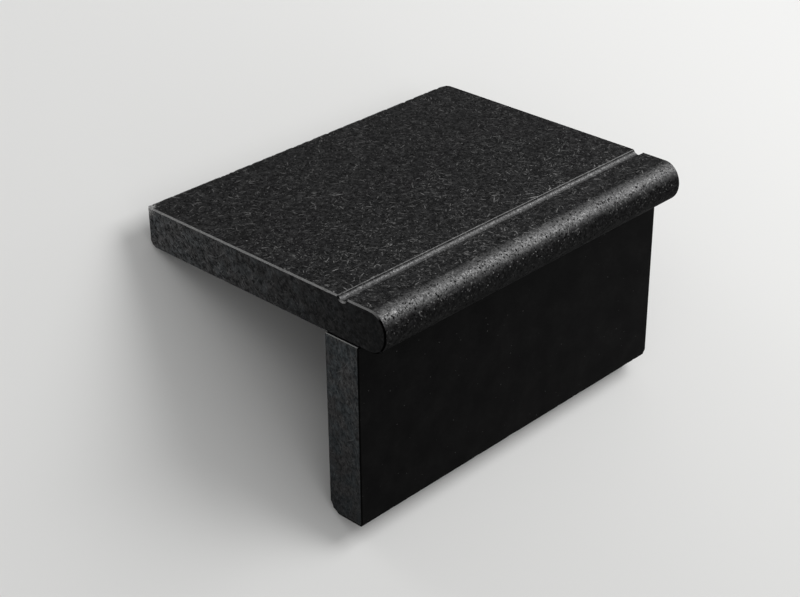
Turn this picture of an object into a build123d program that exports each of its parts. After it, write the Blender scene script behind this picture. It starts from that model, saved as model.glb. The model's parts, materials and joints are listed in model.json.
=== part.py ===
from build123d import *
import math
import os

# A bullnosed granite tread on its granite riser, in millimetres.
# Both are drawn as they are laid: X runs along the nosing, Y from the nose tip towards the
# back and Z up from the riser's foot. Unheld, the pair tips back about the riser's back foot
# edge until the tread's back edge is down, so both are turned into that attitude at the end.

# Tread slab
tread_length = 300.0
tread_depth = 225.0
tread_thickness = 30.0

# Bullnose, a half ellipse as high as the tread is thick
nose_depth = 13.0

# Cove groove behind the nose, run out through both ends
groove_setback = 33.0
groove_width = 8.0
groove_depth = 3.0
groove_rim_radius = 0.6

# Riser slab, a little longer than the tread and shifted to the right under it
riser_length = 305.0
riser_height = 135.0
riser_thickness = 29.0
riser_setback = 22.5
riser_shift = 1.0

# Arrises, the narrow flats rubbed along the sawn edges
tread_end_arris = 1.0
riser_front_arris = 0.8

# Broken corners, the worn ones rounded by a second cut: how far each cut reaches along X, Y and Z
tread_back_right_cuts = [(3.0, 7.0, 12.0), (8.0, 2.5, 12.0)]
tread_back_left_cuts = [(3.0, 3.0, 6.5), (3.0, 8.0, 2.5)]
riser_back_left_cuts = [(7.0, 3.5, 9.0), (7.0, 8.0, 4.0)]
riser_front_right_cuts = [(3.5, 3.0, 4.0)]

# How close an edge lies to where it is looked for
same_place = 0.01

# The two back edges that the pair rests on
riser_back = riser_setback + riser_thickness
tip_angle = math.degrees(math.atan2(riser_height, tread_depth - riser_back))


def slab_outline():
    # Tread section without the groove: Y back from the nose tip, Z up from the underside
    half = tread_thickness / 2
    underside = Line((nose_depth, 0), (tread_depth, 0))
    back = Line(underside @ 1, (tread_depth, tread_thickness))
    top = Line(back @ 1, (nose_depth, tread_thickness))
    nose = EllipticalCenterArc((nose_depth, half), nose_depth, half, start_angle=90, arc_size=180)
    return make_face(underside + back + top + nose)


def groove_cutter():
    # The cove's arc through its bottom, closed above the tread's top
    groove_back = groove_setback + groove_width
    lowest = (groove_setback + groove_width / 2, tread_thickness - groove_depth)
    cove = ThreePointArc((groove_setback, tread_thickness), lowest, (groove_back, tread_thickness))
    above = tread_thickness + groove_depth
    lid = Polyline(cove @ 1, (groove_back, above), (groove_setback, above), cove @ 0)
    return make_face(cove + lid)


def is_groove_rim(edge):
    # The two long edges between the groove and the tread's top
    middle = edge.center()
    from_groove = abs(middle.Y - groove_setback - groove_width / 2)
    at_top = abs(middle.Z - riser_height - tread_thickness) < same_place
    at_side = abs(from_groove - groove_width / 2) < same_place
    return at_top and at_side and edge.length > tread_length / 2


def break_corner(solid, corner, cuts):
    # Each cut takes the corner off by the plane through the three points that lie its reach away
    middle = solid.bounding_box().center()
    outward = [1 if c > m else -1 for c, m in zip(corner, middle)]
    for reach in cuts:
        normal = Vector(*[side / length for side, length in zip(outward, reach)])
        on_plane = Vector(*corner) - Vector(outward[0] * reach[0], 0, 0)
        solid = split(solid, bisect_by=Plane(on_plane, z_dir=normal), keep=Keep.BOTTOM)
    return solid


def make_tread():
    start = Plane(origin=(-tread_length / 2, 0, riser_height), x_dir=(0, 1, 0), z_dir=(1, 0, 0))
    slab = extrude(start * (slab_outline() - groove_cutter()), tread_length)
    ends = slab.faces().filter_by(Axis.X)
    slab = chamfer(ends.edges(), tread_end_arris)
    slab = fillet(slab.edges().filter_by(is_groove_rim), groove_rim_radius)
    top = riser_height + tread_thickness
    right = tread_length / 2
    slab = break_corner(slab, (right, tread_depth, top), tread_back_right_cuts)
    return break_corner(slab, (-right, tread_depth, riser_height), tread_back_left_cuts)


def make_riser():
    slab = Box(riser_length, riser_thickness, riser_height, align=(Align.CENTER, Align.MIN, Align.MIN))
    slab = Pos(riser_shift, riser_setback, 0) * slab
    front = slab.faces().sort_by(Axis.Y)[0]
    slab = chamfer(front.edges(), riser_front_arris)
    left = riser_shift - riser_length / 2
    right = riser_shift + riser_length / 2
    slab = break_corner(slab, (left, riser_back, 0), riser_back_left_cuts)
    return break_corner(slab, (right, riser_setback, 0), riser_front_right_cuts)


def at_rest(pieces):
    # Tips the laid pieces back about the riser's back foot edge, then centres them over the floor
    turned = [Rot(X=-tip_angle) * Pos(Y=-riser_back) * piece for piece in pieces]
    box = Compound(turned).bounding_box()
    middle = box.center()
    return [Pos(-middle.X, -middle.Y, -box.min.Z) * piece for piece in turned]


def main():
    os.makedirs("parts", exist_ok=True)
    names = ["tread", "riser"]
    for name, piece in zip(names, at_rest([make_tread(), make_riser()])):
        export_step(piece, f"parts/{name}.step")


main()
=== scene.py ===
import bpy
import json
import math
from mathutils import Matrix, Vector


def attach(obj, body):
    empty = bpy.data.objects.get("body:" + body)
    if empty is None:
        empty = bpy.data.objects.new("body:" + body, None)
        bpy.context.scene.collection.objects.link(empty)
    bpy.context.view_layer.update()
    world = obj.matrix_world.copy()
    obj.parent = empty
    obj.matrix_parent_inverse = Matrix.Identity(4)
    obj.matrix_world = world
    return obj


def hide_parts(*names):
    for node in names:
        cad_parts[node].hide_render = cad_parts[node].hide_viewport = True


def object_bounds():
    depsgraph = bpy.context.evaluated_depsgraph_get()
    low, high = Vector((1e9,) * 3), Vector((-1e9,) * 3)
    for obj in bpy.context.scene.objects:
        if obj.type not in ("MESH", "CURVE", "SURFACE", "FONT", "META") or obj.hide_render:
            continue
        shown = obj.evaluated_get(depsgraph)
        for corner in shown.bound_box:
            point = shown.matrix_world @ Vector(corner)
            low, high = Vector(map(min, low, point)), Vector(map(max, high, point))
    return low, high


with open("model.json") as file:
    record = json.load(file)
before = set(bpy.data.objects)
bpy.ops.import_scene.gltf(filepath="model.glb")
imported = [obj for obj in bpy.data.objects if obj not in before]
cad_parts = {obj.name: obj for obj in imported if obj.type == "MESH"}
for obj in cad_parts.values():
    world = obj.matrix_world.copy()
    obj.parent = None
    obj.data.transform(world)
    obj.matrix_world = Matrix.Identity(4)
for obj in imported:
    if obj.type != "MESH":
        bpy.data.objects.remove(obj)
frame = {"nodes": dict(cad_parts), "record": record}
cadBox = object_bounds()
print("frame loaded:", sorted(frame["nodes"]))

# The pair as it is laid, in metres: x along the nosing, y back from the nose tip, z up from the
# riser's foot. It is drawn so, and turned at the end into the attitude it rests in unheld.

tread = {
    "length": 0.300,
    "depth": 0.225,
    "thickness": 0.030,
    "underside": 0.135,
    "noseDepth": 0.013,
    "grooveSetback": 0.033,
    "grooveWidth": 0.008,
    "grooveDepth": 0.003,
    "grooveRim": 0.0006,
    "pointStep": 0.00125,      # along the section on the top
    "noseStep": 0.0010,
    "underStep": 0.0045,
    "rimPoints": 4,
    "covePoints": 22,
    "rows": 241,
    "centre": 0.0,
    "arris": 0.001,
    "skin": 0.00003,           # rubbed off the brushed faces everywhere
    "reliefDepth": 0.00016,    # brushing leaves the top and the nose softly uneven
    "reliefScale": 210.0,
    "chipDepth": 0.0008,
    "chipScale": 190.0,
    "seed": 3.0,
    "breaks": [    # a corner and how far its two cuts reach in from it
        ((0.150, 0.225, 0.165), (-0.003, -0.007, -0.012), (-0.008, -0.0025, -0.012)),
        ((-0.150, 0.225, 0.135), (0.003, -0.003, 0.0065), (0.003, -0.008, 0.0025)),
    ],
}

riser = {
    "length": 0.305,
    "height": 0.135,
    "thickness": 0.029,
    "setback": 0.0225,
    "noseDepth": 0.0,          # a flat slab, with neither nose nor groove
    "grooveSetback": 0.0,
    "grooveWidth": 0.0,
    "pointStep": 0.0016,
    "rows": 201,
    "centre": 0.001,
    "arris": 0.0008,
    "skin": 0.0,
    "reliefDepth": 0.00003,
    "reliefScale": 90.0,
    "chipDepth": 0.0005,
    "chipScale": 150.0,
    "seed": 11.0,
    "breaks": [
        ((-0.1515, 0.0515, 0.0), (0.007, -0.0035, 0.009), (0.007, -0.008, 0.004)),
        ((0.1535, 0.0225, 0.0), (-0.0035, 0.003, 0.004), (-0.0028, 0.0024, 0.0032)),
    ],
}


def restingPlace():
    # The record's foot mount says how far the pair is tipped and where it has come to lie
    mounts = {m["name"]: m for m in frame["record"]["mounts"]}
    foot = mounts["riser_foot"]
    axis, place = foot["axis"], foot["pos_m"]
    tip = math.atan2(-axis[1], -axis[2])
    laidPlace = Vector((riser["centre"], riser["setback"] + riser["thickness"] / 2, 0))
    turn = Matrix.Rotation(-tip, 4, "X")
    return tip, Matrix.Translation(Vector(place) - turn @ laidPlace) @ turn


tipAngle, laidToRest = restingPlace()
restToLaid = laidToRest.inverted()
print("tipped back by", round(math.degrees(tipAngle), 3), "degrees")


# Camera, as it stood to the laid pair

camera = {
    "place": (-0.80397, -0.64678, 0.68342),
    "azimuth": -45.88,
    "elevation": 28.79,
    "roll": -0.58,
    "lens": 79.25,
    "sensor": 36.0,
    "clip": (0.05, 60),
}


def makeCamera(c):
    a, e = math.radians(c["azimuth"]), math.radians(c["elevation"])
    back = Vector((math.sin(a) * math.cos(e), -math.cos(a) * math.cos(e), math.sin(e)))
    right = Vector((0, 0, 1)).cross(back).normalized()
    up = back.cross(right)
    level = Matrix((right, up, back)).transposed()
    looks = level @ Matrix.Rotation(math.radians(c["roll"]), 3, "Z")
    data = bpy.data.cameras.new("photoView")
    data.lens = c["lens"]
    data.sensor_width = c["sensor"]
    data.clip_start, data.clip_end = c["clip"]
    view = bpy.data.objects.new("photoView", data)
    bpy.context.scene.collection.objects.link(view)
    view.matrix_world = laidToRest @ Matrix.Translation(Vector(c["place"])) @ looks.to_4x4()
    bpy.context.scene.camera = view


makeCamera(camera)
print("camera placed")


# Small helpers for building trees

def nodeAdder(tree):
    def add(kind, inputs=None, **settings):
        made = tree.nodes.new(kind)
        made.location = (190 * (len(tree.nodes) % 24), -260 * (len(tree.nodes) // 24))
        for key, value in settings.items():
            setattr(made, key, value)
        for key, value in (inputs or {}).items():
            if isinstance(value, bpy.types.NodeSocket):
                tree.links.new(value, made.inputs[key])
            else:
                made.inputs[key].default_value = value
        return made
    return add


def maths(add, operation, *values):
    return add("ShaderNodeMath", dict(enumerate(values)), operation=operation).outputs[0]


def chain(add, operation, first, *others):
    for other in others:
        first = maths(add, operation, first, other)
    return first


def product(add, *values):
    return chain(add, "MULTIPLY", *values)


def total(add, *values):
    return chain(add, "ADD", *values)


def minus(add, *values):
    return chain(add, "SUBTRACT", *values)


def largest(add, *values):
    return chain(add, "MAXIMUM", *values)


def isOver(add, value, limit):
    return maths(add, "GREATER_THAN", value, limit)


def isUnder(add, value, limit):
    return maths(add, "LESS_THAN", value, limit)


def vectorMaths(add, operation, *values, scale=None):
    inputs = dict(enumerate(values))
    if scale is not None:
        inputs["Scale"] = scale
    made = add("ShaderNodeVectorMath", inputs, operation=operation)
    scalar = operation in ("LENGTH", "DOT_PRODUCT", "DISTANCE")
    return made.outputs["Value" if scalar else "Vector"]


def scaled(add, vector, scale):
    return vectorMaths(add, "SCALE", vector, scale=scale)


def parts(add, vector):
    return add("ShaderNodeSeparateXYZ", {0: vector}).outputs


def remap(add, value, fromMin, fromMax, toMin=0.0, toMax=1.0, smooth=False):
    inputs = {"Value": value, "From Min": fromMin, "From Max": fromMax, "To Min": toMin, "To Max": toMax}
    made = add("ShaderNodeMapRange", inputs, interpolation_type="SMOOTHSTEP" if smooth else "LINEAR")
    return made.outputs["Result"]


def noise(add, vector, scale, detail=2.0, roughness=0.5):
    inputs = {"Vector": vector, "Scale": scale, "Detail": detail, "Roughness": roughness}
    return add("ShaderNodeTexNoise", inputs).outputs["Fac"]


# The slab: an outline swept along the nosing, its ends rubbed, its face brushed uneven, its
# long edges chipped and two corners knocked off

slabInputs = [
    ("Length", "Float"), ("Centre", "Float"), ("Rows", "Int"), ("Arris", "Float"),
    ("Skin", "Float"), ("Relief Depth", "Float"), ("Relief Scale", "Float"),
    ("Chip Depth", "Float"), ("Chip Scale", "Float"), ("Seed", "Float"),
    ("First Corner", "Vector"), ("First Cut", "Vector"), ("First Recut", "Vector"),
    ("Second Corner", "Vector"), ("Second Cut", "Vector"), ("Second Recut", "Vector"),
    ("Break Radius", "Float"), ("Break Roughness", "Float"),
    ("Nose Depth", "Float"), ("Cove Middle", "Float"), ("Cove Reach", "Float"),
    ("Stone", "Material"), ("Satin Stone", "Material"), ("Broken Stone", "Material"),
]

# How the edges and faces of both slabs are worn
wear = {
    "arrisSteps": 2.0,              # rows in an arris
    "brushedFaces": (-0.6, 0.1),    # a normal's Z where brushing starts and where it is in full
    "reliefFade": 2.5,              # arrises from the end, where the relief is in full
    "reliefRange": (0.3, 0.7),
    "reliefNoise": (3.0, 0.6),      # detail and roughness
    "chipRange": (0.51, 0.74),      # noise where a chip starts and where it is deepest
    "chipNoise": (4.0, 0.65),
    "endChips": 0.45,               # how deep at an end, against a long corner
    "satinLowest": 0.28,            # a normal's Z, down to which the curves are rubbed
    "wallLean": -0.01,              # a normal's Y, below which the cove's wall looks to the front
    "breakRadius": 0.020,
    "breakMiddle": 0.3333,          # of the three reaches, on the cut's plane
    "breakSink": 0.98,              # radii from there to the ball's centre
    "breakRoughness": 0.0011,
    "breakNoise": (260.0, 5.0, 0.62),    # scale, detail and roughness
    "breakDetail": 6,
    "sharpAngle": 36.0,
}


def sweepPath(add, given, half):
    # Along x: the first and last steps share an arris, the rest are even
    line = add("GeometryNodeCurvePrimitiveLine", {"End": (1, 0, 0)}).outputs["Curve"]
    path = add("GeometryNodeResampleCurve", {0: line, "Count": given["Rows"]}, mode="COUNT").outputs[0]
    row = add("GeometryNodeInputIndex").outputs[0]
    steps = wear["arrisSteps"]
    last = minus(add, given["Rows"], 1.0)
    middle = product(add, last, 0.5)
    fromEnd = maths(add, "MINIMUM", row, minus(add, last, row))
    fine = product(add, maths(add, "MINIMUM", fromEnd, steps), product(add, given["Arris"], 1 / steps))
    step = maths(add, "DIVIDE", minus(add, half, given["Arris"]), minus(add, middle, steps))
    coarse = product(add, largest(add, minus(add, fromEnd, steps), 0.0), step)
    inset = minus(add, total(add, fine, coarse), half)
    side = maths(add, "SIGN", minus(add, middle, row))
    alongX = total(add, product(add, inset, side), given["Centre"])
    spot = add("ShaderNodeCombineXYZ", {"X": alongX}).outputs[0]
    return add("GeometryNodeSetPosition", {"Geometry": path, "Position": spot}).outputs[0]


def outwardWays(add, openTube):
    # The open tube's normals, free of the end caps
    normal = add("GeometryNodeInputNormal").outputs[0]
    index = add("GeometryNodeInputIndex").outputs[0]
    taken = add("GeometryNodeSampleIndex", {"Geometry": openTube}, data_type="FLOAT_VECTOR", domain="POINT")
    taken.id_data.links.new(normal, taken.inputs["Value"])
    taken.id_data.links.new(index, taken.inputs["Index"])
    return [o for o in taken.outputs if o.enabled][0]


def wornBody(add, given, closed, outward, half, place):
    # How far each point goes in: arrises at the ends, brushing on top, chips along the edges
    off = maths(add, "ABSOLUTE", minus(add, parts(add, place)["X"], given["Centre"]))
    endGap = minus(add, half, off)
    arris = largest(add, minus(add, given["Arris"], endGap), 0.0)
    seed = add("ShaderNodeCombineXYZ", {"Z": given["Seed"]}).outputs[0]
    seeded = vectorMaths(add, "ADD", place, seed)
    soft = noise(add, seeded, given["Relief Scale"], *wear["reliefNoise"])
    brushed = remap(add, parts(add, outward)["Z"], *wear["brushedFaces"])
    awayFromEnd = remap(add, endGap, given["Arris"], product(add, given["Arris"], wear["reliefFade"]))
    relief = product(add, remap(add, soft, *wear["reliefRange"]), given["Relief Depth"], awayFromEnd)
    relief = product(add, total(add, relief, given["Skin"]), brushed)
    corner = add("GeometryNodeInputNamedAttribute", {"Name": "corner"}, data_type="FLOAT")
    bites = noise(add, seeded, given["Chip Scale"], *wear["chipNoise"])
    atEnd = remap(add, endGap, 0.0, given["Arris"], wear["endChips"], 0.0)
    atEdge = largest(add, corner.outputs["Attribute"], atEnd)
    chips = product(add, remap(add, bites, *wear["chipRange"]), given["Chip Depth"], atEdge)
    rubWay = add("GeometryNodeInputNamedAttribute", {"Name": "rubWay"}, data_type="FLOAT_VECTOR")
    rubbed = scaled(add, rubWay.outputs["Attribute"], arris)
    worn = scaled(add, outward, product(add, total(add, relief, chips), -1.0))
    offset = vectorMaths(add, "ADD", rubbed, worn)
    body = add("GeometryNodeSetPosition", {"Geometry": closed, "Offset": offset}).outputs[0]
    return add("GeometryNodeSetMaterial", {"Geometry": body, "Material": given["Stone"]}).outputs[0]


def satinCurves(add, given, body, place):
    # The curves rubbed to a satin shine have a slot of their own: the nose and the cove's back wall
    y = parts(add, place)["Y"]
    way = parts(add, add("GeometryNodeInputNormal").outputs[0])
    fromCove = maths(add, "ABSOLUTE", minus(add, y, given["Cove Middle"]))
    onWall = isUnder(add, fromCove, given["Cove Reach"])
    onWall = product(add, onWall, isUnder(add, way["Y"], wear["wallLean"]))
    onNose = isUnder(add, y, given["Nose Depth"])
    curved = product(add, largest(add, onNose, onWall), isOver(add, way["Z"], wear["satinLowest"]))
    inputs = {"Geometry": body, "Selection": curved, "Material": given["Satin Stone"]}
    return add("GeometryNodeSetMaterial", inputs).outputs[0]


def brokenCorners(add, given, body):
    # Each cut is a rough ball that bites through the plane between its three reaches
    cutters = add("GeometryNodeMeshBoolean", operation="UNION", solver="MANIFOLD")
    sink = product(add, given["Break Radius"], wear["breakSink"])
    for name, cut in (("First", " Cut"), ("First", " Recut"), ("Second", " Cut"), ("Second", " Recut")):
        steep = vectorMaths(add, "DIVIDE", (1, 1, 1), given[name + cut])
        away = scaled(add, vectorMaths(add, "NORMALIZE", steep), -1.0)
        middle = scaled(add, given[name + cut], wear["breakMiddle"])
        middle = vectorMaths(add, "ADD", given[name + " Corner"], middle)
        centre = vectorMaths(add, "ADD", middle, scaled(add, away, sink))
        inputs = {"Radius": given["Break Radius"], "Subdivisions": wear["breakDetail"]}
        ball = add("GeometryNodeMeshIcoSphere", inputs).outputs["Mesh"]
        ball = add("GeometryNodeTransform", {"Geometry": ball, "Translation": centre}).outputs[0]
        rough = noise(add, add("GeometryNodeInputPosition").outputs[0], *wear["breakNoise"])
        push = product(add, minus(add, rough, 0.5), given["Break Roughness"])
        bumps = scaled(add, add("GeometryNodeInputNormal").outputs[0], push)
        ball = add("GeometryNodeSetPosition", {"Geometry": ball, "Offset": bumps}).outputs[0]
        cutters.id_data.links.new(ball, cutters.inputs["Mesh 2"])
    inputs = {"Geometry": cutters.outputs["Mesh"], "Material": given["Broken Stone"]}
    bite = add("GeometryNodeSetMaterial", inputs).outputs[0]
    inputs = {"Mesh 1": body, "Mesh 2": bite}
    return add("GeometryNodeMeshBoolean", inputs, operation="DIFFERENCE", solver="MANIFOLD").outputs["Mesh"]


def shadedFaces(add, mesh):
    # Flat faces meet in sharp edges, curved ones are shaded smooth
    turn = add("GeometryNodeInputMeshEdgeAngle").outputs["Unsigned Angle"]
    limit = {"A": turn, "B": math.radians(wear["sharpAngle"])}
    sharp = add("FunctionNodeCompare", limit, data_type="FLOAT", operation="GREATER_THAN").outputs[0]
    inputs = {"Geometry": mesh, "Shade Smooth": True}
    shaded = add("GeometryNodeSetShadeSmooth", inputs, domain="FACE").outputs[0]
    inputs = {"Geometry": shaded, "Selection": sharp, "Shade Smooth": False}
    return add("GeometryNodeSetShadeSmooth", inputs, domain="EDGE").outputs[0]


def makeSlabTree():
    tree = bpy.data.node_groups.new("stoneSlab", "GeometryNodeTree")
    tree.interface.new_socket("Outline", in_out="INPUT", socket_type="NodeSocketGeometry")
    for name, kind in slabInputs:
        tree.interface.new_socket(name, in_out="INPUT", socket_type="NodeSocket" + kind)
    tree.interface.new_socket("Slab", in_out="OUTPUT", socket_type="NodeSocketGeometry")
    add = nodeAdder(tree)
    given = add("NodeGroupInput").outputs
    half = product(add, given["Length"], 0.5)
    path = sweepPath(add, given, half)
    outline = add("GeometryNodeMeshToCurve", {"Mesh": given["Outline"]}).outputs[0]
    sweep = {"Curve": path, "Profile Curve": outline, "Fill Caps": False}
    openTube = add("GeometryNodeCurveToMesh", sweep).outputs[0]
    closed = add("GeometryNodeCurveToMesh", {**sweep, "Fill Caps": True}).outputs[0]
    outward = outwardWays(add, openTube)
    place = add("GeometryNodeInputPosition").outputs[0]
    body = wornBody(add, given, closed, outward, half, place)
    body = satinCurves(add, given, body, place)
    shaded = shadedFaces(add, brokenCorners(add, given, body))
    real = add("GeometryNodeRealizeInstances", {"Geometry": shaded}).outputs[0]
    whole = add("GeometryNodeMaterialSelection", {"Material": given["Stone"]}).outputs[0]
    inputs = {"Geometry": real, "Selection": whole, "Material": given["Stone"]}
    add("NodeGroupOutput", {"Slab": add("GeometryNodeSetMaterial", inputs).outputs[0]})
    return tree


slabTree = makeSlabTree()


# The outlines that the slabs are swept from

def spread(start, end, step):
    # Even points from start up to, but not including, end
    count = max(1, round((Vector(end) - Vector(start)).length / step))
    return [tuple(Vector(start).lerp(Vector(end), i / count)) for i in range(count)]


def arcPoints(centre, radius, startAngle, endAngle, count):
    angles = [startAngle + (endAngle - startAngle) * i / count for i in range(count)]
    return [(centre[0] + radius * math.cos(a), centre[1] + radius * math.sin(a)) for a in angles]


def coveRadius(t):
    halfWidth, deep = t["grooveWidth"] / 2, t["grooveDepth"]
    return (halfWidth ** 2 + deep ** 2) / (2 * deep)


def grooveMiddle(t):
    return t["grooveSetback"] + t["grooveWidth"] / 2


def grooveOutline(t):
    # The cove from its back rim to its front rim, with both rims rounded
    top = t["underside"] + t["thickness"]
    rim, middle, radius = t["grooveRim"], grooveMiddle(t), coveRadius(t)
    centreZ = top - t["grooveDepth"] + radius
    # A rim's centre lies a rim radius under the top and outside the cove's circle
    drop = centreZ - (top - rim)
    reach = math.sqrt((radius + rim) ** 2 - drop ** 2)
    lean = math.atan2(drop, reach)
    back = arcPoints((middle + reach, top - rim), rim, math.pi / 2, math.pi - lean, t["rimPoints"])
    cove = arcPoints((middle, centreZ), radius, -lean, lean - math.pi, t["covePoints"])
    front = arcPoints((middle - reach, top - rim), rim, lean, math.pi / 2, t["rimPoints"])
    return back + cove + front, middle + reach, middle - reach


def inwardWays(points):
    # The way each outline point moves when every side goes in by one, mitred at the corners
    ways = []
    for i, (y, z) in enumerate(points):
        before = Vector((y - points[i - 1][0], z - points[i - 1][1])).normalized()
        after = points[(i + 1) % len(points)]
        after = Vector((after[0] - y, after[1] - z)).normalized()
        a, b = Vector((-before.y, before.x)), Vector((-after.y, after.x))
        ways.append((a + b) / (1 + a.dot(b)))
    return ways


def rimWays(t, points, ways):
    # An arris cuts a groove rim off in a point, so the rim's own points gather there
    top = t["underside"] + t["thickness"]
    inset, middle, radius = t["arris"], grooveMiddle(t), coveRadius(t)
    cut = top - inset
    reach = math.sqrt((radius + inset) ** 2 - (top - t["grooveDepth"] + radius - cut) ** 2)
    tight = inset * 0.2    # how near the point they gather
    for side in (1, -1):
        over = []
        for i, (y, z) in enumerate(points):
            moved = Vector((y, z)) + ways[i] * inset
            inRim = 0 <= side * (y - middle) < reach - tight * 0.5
            if inRim and (moved.y > cut - 1e-7 or side * (moved.x - middle) > reach):
                over.append(i)
        over.sort(key=lambda i: -side * points[i][0])
        for n, i in enumerate(over):
            u = (n + 0.5) / len(over)
            outBy = reach + tight * (1 - u) ** 2 - tight * 0.45 * u ** 2
            target = Vector((middle + side * outBy, cut - tight * u ** 2))
            ways[i] = (target - Vector(points[i])) / inset
    return ways


def treadOutline(t):
    low = t["underside"]
    top = low + t["thickness"]
    half = t["thickness"] / 2
    groove, grooveBack, grooveFront = grooveOutline(t)
    under = spread((t["noseDepth"], low), (t["depth"], low), t["underStep"])
    back = spread((t["depth"], low), (t["depth"], top), t["pointStep"])
    topBack = spread((t["depth"], top), (grooveBack, top), t["pointStep"])
    topFront = spread((grooveFront, top), (t["noseDepth"], top), t["pointStep"])
    count = round(math.pi * half / t["noseStep"])
    nose = []
    for i in range(count):
        a = math.pi / 2 + math.pi * i / count
        nose.append((t["noseDepth"] * (1 + math.cos(a)), low + half + half * math.sin(a)))
    corners = [len(under), len(under) + len(back)]
    points = under + back + topBack + groove + topFront + nose
    return points, corners, rimWays(t, points, inwardWays(points))


def riserOutline(r):
    front, back = r["setback"], r["setback"] + r["thickness"]
    a, top = r["arris"], r["height"]
    stops = [(front + a, 0), (back, 0), (back, top), (front + a, top), (front, top - a), (front, a)]
    points, corners = [], []
    for i, stop in enumerate(stops):
        corners.append(len(points))
        points += spread(stop, stops[(i + 1) % len(stops)], r["pointStep"])
    # Only the front's edges are rubbed
    ways = [Vector((1, 0)) if y < front + a / 2 else Vector((0, 0)) for y, z in points]
    return points, corners, ways


def makeSlab(name, settings, points, corners, ways, stone, satin, broken):
    mesh = bpy.data.meshes.new(name + "Outline")
    edges = [(i, (i + 1) % len(points)) for i in range(len(points))]
    mesh.from_pydata([(-y, -z, 0) for y, z in points], edges, [])  # the sweep along x turns it half round
    marks = mesh.attributes.new("corner", "FLOAT", "POINT")
    for i in corners:
        marks.data[i].value = 1.0
    rubs = mesh.attributes.new("rubWay", "FLOAT_VECTOR", "POINT")
    for i, way in enumerate(ways):
        rubs.data[i].vector = (0, way.x, way.y)
    slab = bpy.data.objects.new(name, mesh)
    bpy.context.scene.collection.objects.link(slab)
    sweep = slab.modifiers.new("sweep", "NODES")
    sweep.node_group = slabTree
    (firstCorner, firstCut, firstRecut), (secondCorner, secondCut, secondRecut) = settings["breaks"]
    values = {
        "Length": settings["length"], "Centre": settings["centre"], "Rows": settings["rows"],
        "Arris": settings["arris"], "Skin": settings["skin"], "Seed": settings["seed"],
        "Relief Depth": settings["reliefDepth"], "Relief Scale": settings["reliefScale"],
        "Chip Depth": settings["chipDepth"], "Chip Scale": settings["chipScale"],
        "First Corner": firstCorner, "First Cut": firstCut, "First Recut": firstRecut,
        "Second Corner": secondCorner, "Second Cut": secondCut, "Second Recut": secondRecut,
        "Break Radius": wear["breakRadius"], "Break Roughness": wear["breakRoughness"],
        "Nose Depth": settings["noseDepth"], "Cove Middle": grooveMiddle(settings),
        "Cove Reach": settings["grooveWidth"] / 2,
        "Stone": stone, "Satin Stone": satin, "Broken Stone": broken,
    }
    for item in slabTree.interface.items_tree:
        if item.in_out == "INPUT" and item.name in values:
            sweep[item.identifier] = values[item.name]
    shape = slab.evaluated_get(bpy.context.evaluated_depsgraph_get())
    plain = bpy.data.meshes.new_from_object(shape)
    slab.modifiers.remove(sweep)
    plain.name = name
    plain.transform(laidToRest)
    slab.data = plain
    triangles = sum(len(p.vertices) - 2 for p in plain.polygons)
    print(name, "made:", triangles, "triangles,", [m.name for m in plain.materials])
    return slab


# Granite. A row of five numbers is a kind of lath: its cell, half length, half width, the share
# of cells that hold one, and where its pattern starts. Noise is given as scale, detail and
# roughness. A pair is the range in which a value runs from 0 to 1, and two more numbers after
# it say what it runs between instead.

def makeFlakeGroup():
    # Feldspar laths: each Voronoi cell holds one lath with its own direction and tone. Bed is
    # small along the axis that the laths lie across, so that face cuts them lengthwise.
    group = bpy.data.node_groups.new("feldsparLaths", "ShaderNodeTree")
    for name in ("Vector", "Cell", "Length", "Width", "Share", "Bed"):
        kind = "NodeSocketVector" if name in ("Vector", "Bed") else "NodeSocketFloat"
        group.interface.new_socket(name, in_out="INPUT", socket_type=kind)
    for name in ("Lath", "Tone"):
        group.interface.new_socket(name, in_out="OUTPUT", socket_type="NodeSocketFloat")
    add = nodeAdder(group)
    given = add("NodeGroupInput").outputs
    scale = maths(add, "DIVIDE", 1.0, given["Cell"])
    cells = add("ShaderNodeTexVoronoi", {"Vector": given["Vector"], "Scale": scale}).outputs
    away = vectorMaths(add, "SUBTRACT", given["Vector"], cells["Position"])
    anyWay = vectorMaths(add, "SUBTRACT", cells["Color"], (0.5, 0.5, 0.5))
    direction = vectorMaths(add, "NORMALIZE", vectorMaths(add, "MULTIPLY", anyWay, given["Bed"]))
    along = vectorMaths(add, "DOT_PRODUCT", away, direction)
    aside = vectorMaths(add, "SUBTRACT", away, scaled(add, direction, along))
    across = vectorMaths(add, "LENGTH", vectorMaths(add, "MULTIPLY", aside, given["Bed"]))
    a = maths(add, "POWER", maths(add, "DIVIDE", along, given["Length"]), 2.0)
    b = maths(add, "POWER", maths(add, "DIVIDE", across, given["Width"]), 2.0)
    inside = remap(add, total(add, a, b), 1.0, 0.45, smooth=True)    # soft at the rim
    mixed = vectorMaths(add, "DOT_PRODUCT", cells["Color"], (7.3, 11.9, 5.7))    # one even number a cell
    tone = maths(add, "FRACT", product(add, mixed, 3.0))
    chosen = isUnder(add, tone, given["Share"])
    level = maths(add, "DIVIDE", tone, given["Share"])
    add("NodeGroupOutput", {"Lath": product(add, inside, chosen), "Tone": level})
    return group


lathGroup = makeFlakeGroup()


def laths(add, vector, cell, length, width, share, start, bed):
    moved = vectorMaths(add, "ADD", vector, (start, start * 0.7, start * 1.3))
    inputs = {"Vector": moved, "Cell": cell, "Length": length, "Width": width, "Share": share, "Bed": bed}
    made = add("ShaderNodeGroup", inputs, node_tree=lathGroup)
    return made.outputs["Lath"], made.outputs["Tone"]


def tonedLaths(add, vector, row, bed, weight=None):
    lath, tone = laths(add, vector, *row, bed)
    toned = product(add, lath, tone)
    return toned if weight is None else product(add, toned, weight)


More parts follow.
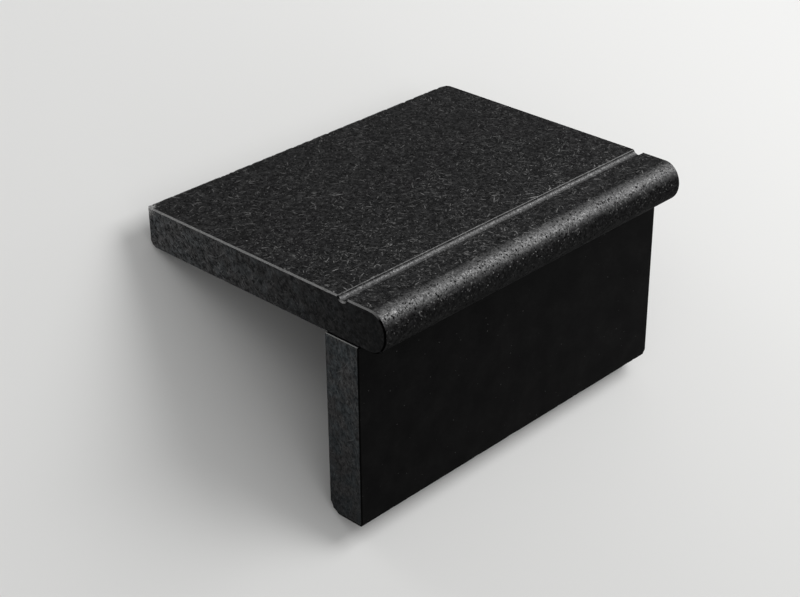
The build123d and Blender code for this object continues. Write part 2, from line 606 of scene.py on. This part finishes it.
def mixColour(add, share, a, b):
    made = add("ShaderNodeMix", {"Factor": share}, data_type="RGBA")
    for socket, value in ((made.inputs[6], a), (made.inputs[7], b)):
        if isinstance(value, bpy.types.NodeSocket):
            made.id_data.links.new(value, socket)
        else:
            socket.default_value = (*value, 1.0)
    return made.outputs[2]


def mixValue(add, share, a, b):
    return add("ShaderNodeMix", {"Factor": share, "A": a, "B": b}, data_type="FLOAT").outputs[0]


def cellParts(add, cells):
    # Three even numbers between 0 and 1 for each Voronoi cell
    return add("ShaderNodeSeparateColor", {0: cells["Color"]}).outputs


def startMaterial(name):
    made = bpy.data.materials.new(name)
    made.use_nodes = True
    tree = made.node_tree
    tree.nodes.clear()
    add = nodeAdder(tree)
    coordinate = add("ShaderNodeTexCoord").outputs
    # The pattern is turned back into the laid attitude, so its masks are plain
    turned = {"Rotation": (tipAngle, 0, 0)}
    laid = {"Vector": coordinate["Object"], "Location": restToLaid.translation, **turned}
    facing = {"Vector": coordinate["Normal"], **turned}
    at = add("ShaderNodeMapping", laid, vector_type="POINT").outputs[0]
    return made, add, at, add("ShaderNodeMapping", facing, vector_type="VECTOR").outputs[0]


def finishMaterial(add, colour, roughness, height, specular, bump):
    strength, distance = bump
    raised = add("ShaderNodeBump", {"Height": height, "Strength": strength, "Distance": distance}).outputs[0]
    inputs = {"Base Color": colour, "Roughness": roughness, "Normal": raised, "IOR": 1.5}
    inputs["Specular IOR Level"] = specular
    shader = add("ShaderNodeBsdfPrincipled", inputs)
    add("ShaderNodeOutputMaterial", {"Surface": shader.outputs[0]})


# Sawn faces: mottled and faintly tinted, crossed by short saw scores and cut crystals

sawnLook = {
    "base": (0.0750, 0.0740, 0.0746),
    "tint": (0.0635, 0.0723, 0.0777),
    "dark": (0.0052, 0.0053, 0.0055),
    "score": (0.160, 0.162, 0.165),
    "patchNoise": (330.0, 5.0, 0.72),
    "scoreNoise": (1100.0, 3.0, 0.65),
    "scoreStretch": (1.0, 5.0, 1.0),
    "tintNoise": (95.0, 2.0, 0.5),
    "cloudNoise": (120.0, 2.0, 0.5),
    "tintRange": (0.42, 0.60),
    "patchRange": (0.42, 0.56),
    "scoreRange": (0.52, 0.66),
    "cloudRange": (0.40, 0.60),
    "patchDepth": 0.9,         # at full contrast, as are the next two
    "scoreShare": 0.65,
    "cloudDepth": 0.35,
    "crystal": (0.0032, 0.0024, 0.00040, 0.5, 4.1),
    "needle": (0.0080, 0.0060, 0.00045, 0.4, 6.3),
    "nick": (0.0024, 0.0011, 0.00045, 0.5, 2.9),
    "bed": (0.25, 1, 1),
    "marks": (0.30, 0.45),     # their share, and what full contrast adds to it
    "relief": 0.6,
}


def sawnFace(add, at, slope, contrast, tinted):
    s = sawnLook
    patch = noise(add, at, *s["patchNoise"])
    slanted = {"Vector": at, "Rotation": (math.radians(slope), 0, 0), "Scale": s["scoreStretch"]}
    slant = add("ShaderNodeMapping", slanted, vector_type="TEXTURE").outputs[0]
    score = noise(add, slant, *s["scoreNoise"])
    tint = noise(add, at, *s["tintNoise"])
    cloud = noise(add, at, *s["cloudNoise"])
    colour = mixColour(add, remap(add, tint, *s["tintRange"], 0.0, tinted), s["base"], s["tint"])
    patches = remap(add, patch, *s["patchRange"], s["patchDepth"] * contrast, 0.0)
    colour = mixColour(add, patches, colour, s["dark"])
    scores = remap(add, score, *s["scoreRange"], 0.0, s["scoreShare"] * contrast)
    colour = mixColour(add, scores, colour, s["score"])
    crystal = tonedLaths(add, at, s["crystal"], s["bed"])
    needle = tonedLaths(add, at, s["needle"], s["bed"])
    nick, tone = laths(add, at, *s["nick"], s["bed"])
    nick = product(add, nick, maths(add, "POWER", tone, 2.0))
    share, extra = s["marks"]
    marks = product(add, largest(add, crystal, needle, nick), share + extra * contrast)
    colour = mixColour(add, marks, colour, s["score"])
    clouds = remap(add, cloud, *s["cloudRange"], s["cloudDepth"] * contrast, 0.0)
    colour = mixColour(add, clouds, colour, s["dark"])
    return colour, total(add, product(add, score, s["relief"]), product(add, patch, s["relief"]))


# The tread: brushed on its flats, satin on its curves, sawn elsewhere

brushedLook = {
    "light": (0.0252, 0.0252, 0.0256),
    "dark": (0.0086, 0.0086, 0.0089),
    "lath": (0.190, 0.189, 0.187),
    "pitAndShade": (0.0015, 0.0015, 0.0015),
    "arrisLight": (0.170, 0.170, 0.168),
    "arrisDull": (0.070, 0.070, 0.070),
    "chalk": (0.330, 0.330, 0.325),       # bruised stone at the back left corner
    "chalkPlace": (-0.150, 0.225, 0.165),
    # Which finish a face has, by the parts of its normal
    "endFace": 0.90,
    "arrisFace": 0.45,
    "flatFace": 0.97,
    "noseTop": (0.998, 0.95),
    "noseLow": (0.28, 0.72),
    "coveTop": (0.9999, 0.975),
    "coveLow": (0.38, 0.74),
    "noseStart": (0.0004, -0.0048),       # from where the nose begins
    # The ground and what lies in it
    "grainNoise": (900.0, 4.0, 0.65),
    "patchNoise": (360.0, 3.0, 0.62),
    "blotchNoise": (150.0, 2.0, 0.55),
    "cloudNoise": (70.0, 3.0, 0.6),
    "patchRange": (0.42, 0.60),
    "blotchRange": (0.36, 0.50, 0.75, 0.0),
    "groundShadedDown": (0.65, 0.1, 0.0, 0.58),      # painted shade: darker as the face turns down
    "lathsShadedDown": (0.1, 0.75, 0.13, 1.0),
    "cloudRange": (0.36, 0.62, 0.45, 1.3),
    "frontLaths": (0.150, 0.045, 1.0, 1.4),
    "bedding": 0.75,           # how flat the laths lie in the face that shows them
    "waverNoise": (700.0, 2.0),
    "waver": 0.0012,
    "toneFall": 1.6,
    "laths": [    # a row, and how bright it is
        ((0.0017, 0.0008, 0.00040, 0.40, 6.71), 0.32),
        ((0.0028, 0.0016, 0.00046, 0.58, 0.31), 0.36),
        ((0.0038, 0.0026, 0.00046, 0.55, 1.17), 0.50),
        ((0.0052, 0.0036, 0.00044, 0.52, 3.71), 0.54),
        ((0.0078, 0.0042, 0.00052, 0.42, 2.43), 0.64),
        ((0.0140, 0.0050, 0.00055, 0.35, 5.09), 0.74),
    ],
    "speck": (0.0085, 0.00065, 0.00055, 0.35, 8.9),
    "scratch": (0.0300, 0.0120, 0.00030, 0.45, 12.1),
    "scratchShare": 0.40,
    "glint": (0.0026, 0.0008, 0.00042, 0.60, 3.3),
    "glintHigh": (0.75, 0.55),
    "glintLow": (-0.35, 0.30),
    "glintShare": 0.75,
    "slot": (0.0021, 0.0010, 0.00036, 0.75, 7.7),
    "slotTones": (0.0, 1.0, 0.35, 1.0),
    "hole": (0.0034, 0.0009, 0.00060, 0.33, 9.3),
    "pitShare": 0.85,
    # Lighter places; the line on the groove's back rim is partly a painted highlight
    "frontLighter": (0.125, 0.045, 1.0, 1.16),
    "stripLighter": (0.037, 0.026, 1.0, 1.18),
    "rimOut": 0.00025,         # the groove's light line, partly rubbed and partly a painted highlight, out from the cove's edge
    "rimRange": (0.00040, 0.00022),
    "rimAlong": (-0.15, 0.12, 0.30, 0.55),
    "rimFlat": 0.999,
    "backEdge": (0.0016, 0.0004),
    "backGrain": (0.40, 0.62, 0.05, 0.40),
    "chalkFade": (0.003, 0.013),
    "chalkThin": 0.30,
    "chalkGrain": (0.38, 0.55),
    "chalkRange": (0.004, 0.013, 0.9, 0.0),
    # Ends and arrises
    "sawSlope": 40.0,
    "sawContrast": 1.0,
    "sawTint": 0.55,
    "endRange": (0.0, 0.208),
    "endFall": 1.2,
    "endShadeDepth": (0.97, 0.45),    # painted shade at the nose, on the left and on the right
    "endPatch": (0.40, 0.62, 1.0, 0.90),
    # The arris: light where it looks up, partly a painted highlight, and painted shade under the nose
    "arrisGrain": (0.40, 0.62, 0.0, 0.8),
    "arrisFront": (0.037, 0.022, 0.0, 0.75),
    "arrisUp": (0.50, 0.66),
    "arrisBlotch": (0.34, 0.44),
    # Shine and relief
    "peelNoise": (800.0, 3.0, 0.62),
    "peelRough": (0.38, 0.62, 0.32, 0.54),
    "crystalScale": 1150.0,
    "crystalShine": (0.0, 1.0, 0.22, 0.84),
    "pitDulls": 0.8,
    "flatRough": 0.62,
    "sawnRough": 0.75,
    "arrisRough": 0.5,
    "lathPolish": 0.3,
    "pitRough": 0.4,
    "coveGrit": 0.3,
    "lathHeight": 0.3,
    "pitDepth": 0.9,
    "flatShine": 0.012,
    "sawnShine": 0.03,
    "arrisShine": 0.4,
    "bump": (0.6, 0.0002),
}


def brushedGranite(look, t):
    made, add, at, facing = startMaterial("brushedGranite")
    n, p = parts(add, facing), parts(add, at)
    sideways = maths(add, "ABSOLUTE", n["X"])
    endFace = isOver(add, sideways, look["endFace"])
    arris = product(add, isOver(add, sideways, look["arrisFace"]), isUnder(add, sideways, look["endFace"]))
    under = isUnder(add, n["Z"], -look["flatFace"])
    backFace = isOver(add, n["Y"], look["flatFace"])
    sawn = largest(add, endFace, under, backFace)
    # The curve of the nose and the cove's back are rubbed to a satin shine, the flat is not
    fromGroove = minus(add, p["Y"], grooveMiddle(t))
    halfGroove = t["grooveWidth"] / 2
    outOfGroove = isOver(add, maths(add, "ABSOLUTE", fromGroove), halfGroove + t["grooveRim"])
    noseLow = remap(add, n["Z"], *look["noseLow"], smooth=True)
    noseCurve = product(add, remap(add, n["Z"], *look["noseTop"], smooth=True), noseLow)
    coveLow = remap(add, n["Z"], *look["coveLow"], smooth=True)
    coveCurve = product(add, remap(add, n["Z"], *look["coveTop"]), coveLow)
    satin = mixValue(add, outOfGroove, coveCurve, noseCurve)
    satin = product(add, satin, isUnder(add, n["Y"], 0.0))
    noseStart = [t["noseDepth"] + out for out in look["noseStart"]]
    beforeNose = remap(add, p["Y"], *noseStart, smooth=True)
    satin = largest(add, satin, product(add, beforeNose, noseLow))

    # Laths of six sizes, the bigger ones fewer and brighter, each lying flat in the face it shows on
    flat = scaled(add, vectorMaths(add, "ABSOLUTE", facing), look["bedding"])
    bed = vectorMaths(add, "SUBTRACT", (1, 1, 1), flat)
    waverScale, waverDetail = look["waverNoise"]
    waver = add("ShaderNodeTexNoise", {"Vector": at, "Scale": waverScale, "Detail": waverDetail})
    sway = vectorMaths(add, "SUBTRACT", waver.outputs["Color"], (0.5, 0.5, 0.5))
    crooked = vectorMaths(add, "ADD", at, scaled(add, sway, look["waver"]))
    flakes = 0.0
    for row, bright in look["laths"]:
        lath, tone = laths(add, crooked, *row, bed)
        flakes = largest(add, flakes, product(add, lath, maths(add, "POWER", tone, look["toneFall"]), bright))
    cloud = noise(add, at, *look["cloudNoise"])
    # Painted shade: laths fade where the face turns down
    lathsOutOfShade = remap(add, n["Z"], *look["lathsShadedDown"])
    flakes = product(add, flakes, product(add, remap(add, cloud, *look["cloudRange"]), lathsOutOfShade))
    flakes = product(add, flakes, remap(add, p["Y"], *look["frontLaths"]))
    grain = noise(add, at, *look["grainNoise"])
    patch = noise(add, at, *look["patchNoise"])
    blotch = noise(add, at, *look["blotchNoise"])
    ground = mixColour(add, remap(add, patch, *look["patchRange"]), look["dark"], look["light"])
    ground = mixColour(add, remap(add, blotch, *look["blotchRange"]), ground, look["dark"])
    # Painted shade: the ground darkens where the face turns down
    ground = mixColour(add, remap(add, n["Z"], *look["groundShadedDown"]), ground, look["pitAndShade"])
    top = mixColour(add, flakes, ground, look["lath"])
    top = mixColour(add, tonedLaths(add, at, look["speck"], bed), top, look["lath"])
    scratches = tonedLaths(add, at, look["scratch"], bed, look["scratchShare"])
    top = mixColour(add, scratches, top, look["lath"])
    # Painted glints: single crystals are painted light just under the nose's shine, as if catching the light
    paintedGlintMask = product(add, remap(add, n["Z"], *look["glintHigh"]), remap(add, n["Z"], *look["glintLow"]))
    paintedGlintMask = product(add, paintedGlintMask, isUnder(add, p["Y"], t["noseDepth"]), look["glintShare"])
    top = mixColour(add, tonedLaths(add, at, look["glint"], bed, paintedGlintMask), top, look["lath"])

    # Pits: short dark slots and holes, none in the groove
    slot, slotTone = laths(add, at, *look["slot"], bed)
    hole = laths(add, at, *look["hole"], bed)[0]
    pits = largest(add, product(add, slot, remap(add, slotTone, *look["slotTones"])), hole)
    pits = product(add, pits, outOfGroove)
    top = mixColour(add, product(add, pits, look["pitShare"]), top, look["pitAndShade"])

    # The top is lighter towards the front and on the strip before the nose; the groove's back rim is light,
    # more so to the right, partly rubbed and partly a painted highlight
    worn = largest(add, remap(add, p["Y"], *look["frontLighter"]), remap(add, p["Y"], *look["stripLighter"]))
    top = scaled(add, top, worn)
    # Painted highlight, partly rubbed stone: a light line on the groove's back rim
    offRim = maths(add, "ABSOLUTE", minus(add, fromGroove, halfGroove + look["rimOut"]))
    rubbed = product(add, remap(add, offRim, *look["rimRange"]), remap(add, p["X"], *look["rimAlong"]))
    rubbed = product(add, rubbed, isUnder(add, n["Z"], look["rimFlat"]))
    top = mixColour(add, rubbed, top, look["arrisLight"])
    backEdge = remap(add, p["Y"], *[t["depth"] - inward for inward in look["backEdge"]])
    backEdge = product(add, backEdge, remap(add, grain, *look["backGrain"]))
    top = mixColour(add, backEdge, top, look["arrisLight"])

    # Painted shade: the left end is darkest at the nose, the right end only a little darker there
    sawnColour, sawnHeight = sawnFace(add, at, look["sawSlope"], look["sawContrast"], look["sawTint"])
    towardsBack = maths(add, "POWER", remap(add, p["Y"], *look["endRange"]), look["endFall"])
    shadeDepth = mixValue(add, isOver(add, n["X"], look["arrisFace"]), *look["endShadeDepth"])
    shadeDepth = product(add, shadeDepth, remap(add, patch, *look["endPatch"]))
    paintedShadeToNose = product(add, minus(add, 1.0, towardsBack), shadeDepth)
    sawnColour = mixColour(add, paintedShadeToNose, sawnColour, sawnLook["dark"])
    # An arris is light where it looks up, partly rubbed stone and partly a painted highlight, and painted
    # black under the nose as shade
    arrisTop = mixColour(add, remap(add, grain, *look["arrisGrain"]), look["arrisLight"], look["arrisDull"])
    arrisTop = mixColour(add, remap(add, p["Y"], *look["arrisFront"]), arrisTop, look["arrisDull"])
    arrisUp = remap(add, n["Z"], *look["arrisUp"])
    onNose = isUnder(add, p["Y"], t["noseDepth"] + t["arris"])
    paintedNoseShade = product(add, onNose, remap(add, blotch, *look["arrisBlotch"]))
    arrisLow = mixColour(add, paintedNoseShade, sawnColour, look["pitAndShade"])
    colour = mixColour(add, sawn, top, sawnColour)
    colour = mixColour(add, arris, colour, mixColour(add, arrisUp, arrisLow, arrisTop))
    fromChalk = vectorMaths(add, "DISTANCE", at, look["chalkPlace"])
    thin = product(add, remap(add, fromChalk, *look["chalkFade"]), look["chalkThin"])
    chalk = remap(add, minus(add, grain, thin), *look["chalkGrain"])
    chalk = product(add, chalk, remap(add, fromChalk, *look["chalkRange"]))
    colour = mixColour(add, chalk, colour, look["chalk"])

    # Satin on the curves, each crystal with its own shine, dull where the saw left it
    peel = noise(add, at, *look["peelNoise"])
    crystals = add("ShaderNodeTexVoronoi", {"Vector": at, "Scale": look["crystalScale"]}).outputs
    shine = remap(add, cellParts(add, crystals)[0], *look["crystalShine"])
    rough = mixValue(add, satin, look["flatRough"], remap(add, peel, *look["peelRough"]))
    rough = minus(add, rough, product(add, flakes, look["lathPolish"]))
    rough = total(add, rough, product(add, pits, look["pitRough"]))
    rough = mixValue(add, sawn, rough, look["sawnRough"])
    rough = mixValue(add, arris, rough, look["arrisRough"])
    grit = product(add, peel, mixValue(add, outOfGroove, look["coveGrit"], 1.0))
    height = total(add, grit, product(add, flakes, look["lathHeight"]))
    height = minus(add, height, product(add, pits, look["pitDepth"]))
    height = mixValue(add, sawn, height, sawnHeight)
    shiny = product(add, shine, minus(add, 1.0, product(add, pits, look["pitDulls"])))
    specular = mixValue(add, satin, look["flatShine"], shiny)
    specular = mixValue(add, sawn, specular, look["sawnShine"])
    specular = mixValue(add, arris, specular, product(add, arrisUp, look["arrisShine"]))
    finishMaterial(add, colour, rough, height, specular, look["bump"])
    return made


# The riser: honed in front, sawn elsewhere

honedLook = {
    "dark": (0.0014, 0.0014, 0.0015),
    "light": (0.0046, 0.0046, 0.0046),
    "pitAndShade": (0.0015, 0.0015, 0.0015),
    "hollow": (0.0008, 0.0008, 0.0008),
    "speck": (0.100, 0.100, 0.098),
    "rubbed": (0.330, 0.330, 0.325),
    "frontFace": -0.5,
    "topFace": 0.9,
    "arrisFace": 0.45,
    "patchNoise": (330.0, 3.0, 0.6),
    "grainNoise": (900.0, 4.0, 0.65),
    "cloudNoise": (45.0, 4.0, 0.6),
    "cloudRange": (0.38, 0.64),
    "patchRange": (0.3, 0.7, 0.6, 0.0),
    "speckScale": 185.0,
    "speckShare": 0.85,
    "speckFall": 1.4,
    "speckSize": (0.0, 1.0, 0.00026, 0.00082),
    "hollowBeside": (0.0008, 0.0, 0.0004),
    "hollowSize": 1.2,         # against its speck's
    "sawSlope": 72.0,
    "sawContrast": 0.75,
    "sawTint": 1.0,
    "downwards": (0.0, 0.12, 0.64, 0.31),
    "footShadow": (0.0006, 0.0013, 0.9, 0.0),
    "topRubbed": (0.0007, 0.0010),
    "sawnRough": 0.75,
    "frontRough": 0.55,
    "grainHeight": 0.12,
    "shine": 0.022,
    "bump": (0.45, 0.00015),
}


def honedGranite(look, r):
    made, add, at, facing = startMaterial("honedGranite")
    n, p = parts(add, facing), parts(add, at)
    front = isUnder(add, n["Y"], look["frontFace"])
    patch = noise(add, at, *look["patchNoise"])
    grain = noise(add, at, *look["grainNoise"])
    cloud = noise(add, at, *look["cloudNoise"])

    # Tiny bright crystals, each with a dark hollow beside it
    cells = add("ShaderNodeTexVoronoi", {"Vector": at, "Scale": look["speckScale"]}).outputs
    shares = cellParts(add, cells)
    chosen = isUnder(add, shares[0], look["speckShare"])
    size = remap(add, maths(add, "POWER", shares[1], look["speckFall"]), *look["speckSize"])
    away = vectorMaths(add, "LENGTH", vectorMaths(add, "SUBTRACT", at, cells["Position"]))
    crystal = product(add, isUnder(add, away, size), chosen)
    beside = vectorMaths(add, "ADD", at, look["hollowBeside"])
    beside = vectorMaths(add, "LENGTH", vectorMaths(add, "SUBTRACT", beside, cells["Position"]))
    hollow = product(add, isUnder(add, beside, product(add, size, look["hollowSize"])), chosen)
    honed = mixColour(add, remap(add, cloud, *look["cloudRange"]), look["dark"], look["light"])
    honed = mixColour(add, remap(add, patch, *look["patchRange"]), honed, look["pitAndShade"])
    honed = mixColour(add, hollow, honed, look["hollow"])
    honed = mixColour(add, product(add, crystal, shares[2]), honed, look["speck"])
    edge = isOver(add, maths(add, "ABSOLUTE", n["X"]), look["arrisFace"])
    honed = mixColour(add, edge, honed, look["hollow"])

    # Ends and back as sawn, lighter towards the top; the top is rubbed light along its outer edge and painted
    # dark inward of it, as shade under the tread
    sawn, sawnHeight = sawnFace(add, at, look["sawSlope"], look["sawContrast"], look["sawTint"])
    sawn = mixColour(add, remap(add, p["Z"], *look["downwards"]), sawn, sawnLook["dark"])
    # Painted shadow: a dark line along the foot, for the contact shadow
    sawn = mixColour(add, remap(add, p["Z"], *look["footShadow"]), sawn, look["pitAndShade"])
    colour = mixColour(add, front, sawn, honed)
    fromMiddle = maths(add, "ABSOLUTE", minus(add, p["X"], r["centre"]))
    fromEnd = minus(add, r["length"] / 2, fromMiddle)
    # Painted shade: inward of its rubbed edge the top is dark, as under the tread
    top = mixColour(add, remap(add, fromEnd, *look["topRubbed"]), look["rubbed"], sawnLook["dark"])
    colour = mixColour(add, isOver(add, n["Z"], look["topFace"]), colour, top)
    rough = mixValue(add, front, look["sawnRough"], look["frontRough"])
    height = mixValue(add, front, sawnHeight, minus(add, product(add, grain, look["grainHeight"]), hollow))
    finishMaterial(add, colour, rough, height, look["shine"], look["bump"])
    return made


# The broken corners: bare crystals

brokenLook = {
    "dark": (0.008, 0.008, 0.009),
    "light": (0.040, 0.040, 0.040),
    "crystalScale": 800.0,
    "noise": (500.0, 4.0, 0.6),
    "rough": (0.0, 1.0, 0.75, 0.5),
    "shine": 0.2,
    "bump": (0.7, 0.0003),
}


def brokenGranite(look):
    made, add, at = startMaterial("brokenGranite")[:3]
    crystals = add("ShaderNodeTexVoronoi", {"Vector": at, "Scale": look["crystalScale"]}).outputs
    tone = cellParts(add, crystals)[0]
    colour = mixColour(add, tone, look["dark"], look["light"])
    height = total(add, tone, noise(add, at, *look["noise"]))
    finishMaterial(add, colour, remap(add, tone, *look["rough"]), height, look["shine"], look["bump"])
    return made


treadStone = brushedGranite(brushedLook, tread)
satinStone = treadStone.copy()    # the same stone, so that the curves keep a mean shine of their own
satinStone.name = "satinGranite"
riserStone = honedGranite(honedLook, riser)
brokenStone = brokenGranite(brokenLook)
print("materials made")

treadSlab = makeSlab("treadSlab", tread, *treadOutline(tread), treadStone, satinStone, brokenStone)
riserSlab = makeSlab("riserSlab", riser, *riserOutline(riser), riserStone, riserStone, brokenStone)
for slab, node, slotName in ((treadSlab, "tread", "tread_granite"), (riserSlab, "riser", "riser_granite")):
    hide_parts(node)
    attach(slab, "root")


# Studio

studio = {
    "floorSize": 30.0,
    "floorColour": (0.80, 0.80, 0.79),
    "floorRough": 0.9,
    "floorShine": 0.2,
    "worldColour": (1.0, 1.0, 1.0),
    "worldStrength": 0.50,
    "seenStrength": 0.86,      # how pale the far paper and the world look to the camera
    "fade": (0.45, 1.25),      # where the floor starts to turn pale and is in full
    "lamps": [
        # name, direction as laid, distance, width, height, watts
        ("keyLamp", (0.600, -0.460, 0.655), 1.7, 1.0, 1.0, 17.0),
        ("backLamp", (-0.482, 0.610, 0.629), 1.6, 0.5, 0.9, 5.0),
    ],
}


def seenDirectly(add):
    # 1 where the camera looks, directly or through a reflection
    path = add("ShaderNodeLightPath").outputs
    mirrored = largest(add, path["Is Glossy Ray"], path["Is Transmission Ray"])
    return largest(add, path["Is Camera Ray"], mirrored)


def makeFloor(s):
    side = s["floorSize"] / 2
    mesh = bpy.data.meshes.new("floor")
    corners = [(-side, -side, 0), (side, -side, 0), (side, side, 0), (-side, side, 0)]
    mesh.from_pydata(corners, [], [(0, 1, 2, 3)])
    floor = bpy.data.objects.new("floor", mesh)
    bpy.context.scene.collection.objects.link(floor)
    paper = bpy.data.materials.new("floorPaper")
    paper.use_nodes = True
    paper.node_tree.nodes.clear()
    add = nodeAdder(paper.node_tree)
    inputs = {"Base Color": (*s["floorColour"], 1.0), "Roughness": s["floorRough"]}
    inputs["Specular IOR Level"] = s["floorShine"]
    near = add("ShaderNodeBsdfPrincipled", inputs).outputs[0]
    light = {"Color": (*s["worldColour"], 1.0), "Strength": s["seenStrength"]}
    pale = add("ShaderNodeEmission", light).outputs[0]
    distance = vectorMaths(add, "LENGTH", add("ShaderNodeTexCoord").outputs["Object"])
    far = product(add, remap(add, distance, *s["fade"], smooth=True), seenDirectly(add))
    both = add("ShaderNodeMixShader", {0: far, 1: near, 2: pale}).outputs[0]
    add("ShaderNodeOutputMaterial", {"Surface": both})
    mesh.materials.append(paper)


def makeWorld(s):
    world = bpy.data.worlds.new("studio")
    world.use_nodes = True
    world.node_tree.nodes.clear()
    add = nodeAdder(world.node_tree)
    strength = mixValue(add, seenDirectly(add), s["worldStrength"], s["seenStrength"])
    light = {"Color": (*s["worldColour"], 1.0), "Strength": strength}
    add("ShaderNodeOutputWorld", {"Surface": add("ShaderNodeBackground", light).outputs[0]})
    bpy.context.scene.world = world


def makeLamps(s):
    middle = (cadBox[0] + cadBox[1]) / 2
    for name, direction, distance, width, height, watts in s["lamps"]:
        towards = (laidToRest.to_3x3() @ Vector(direction)).normalized()
        data = bpy.data.lights.new(name, "AREA")
        data.shape = "RECTANGLE"
        data.size, data.size_y = width, height
        data.energy = watts
        lamp = bpy.data.objects.new(name, data)
        bpy.context.scene.collection.objects.link(lamp)
        lamp.location = middle + towards * distance
        lamp.rotation_euler = towards.to_track_quat("Z", "Y").to_euler()
        lamp.visible_camera = False


makeFloor(studio)
makeWorld(studio)
makeLamps(studio)
bpy.context.scene.view_settings.view_transform = "Standard"
print("studio made")
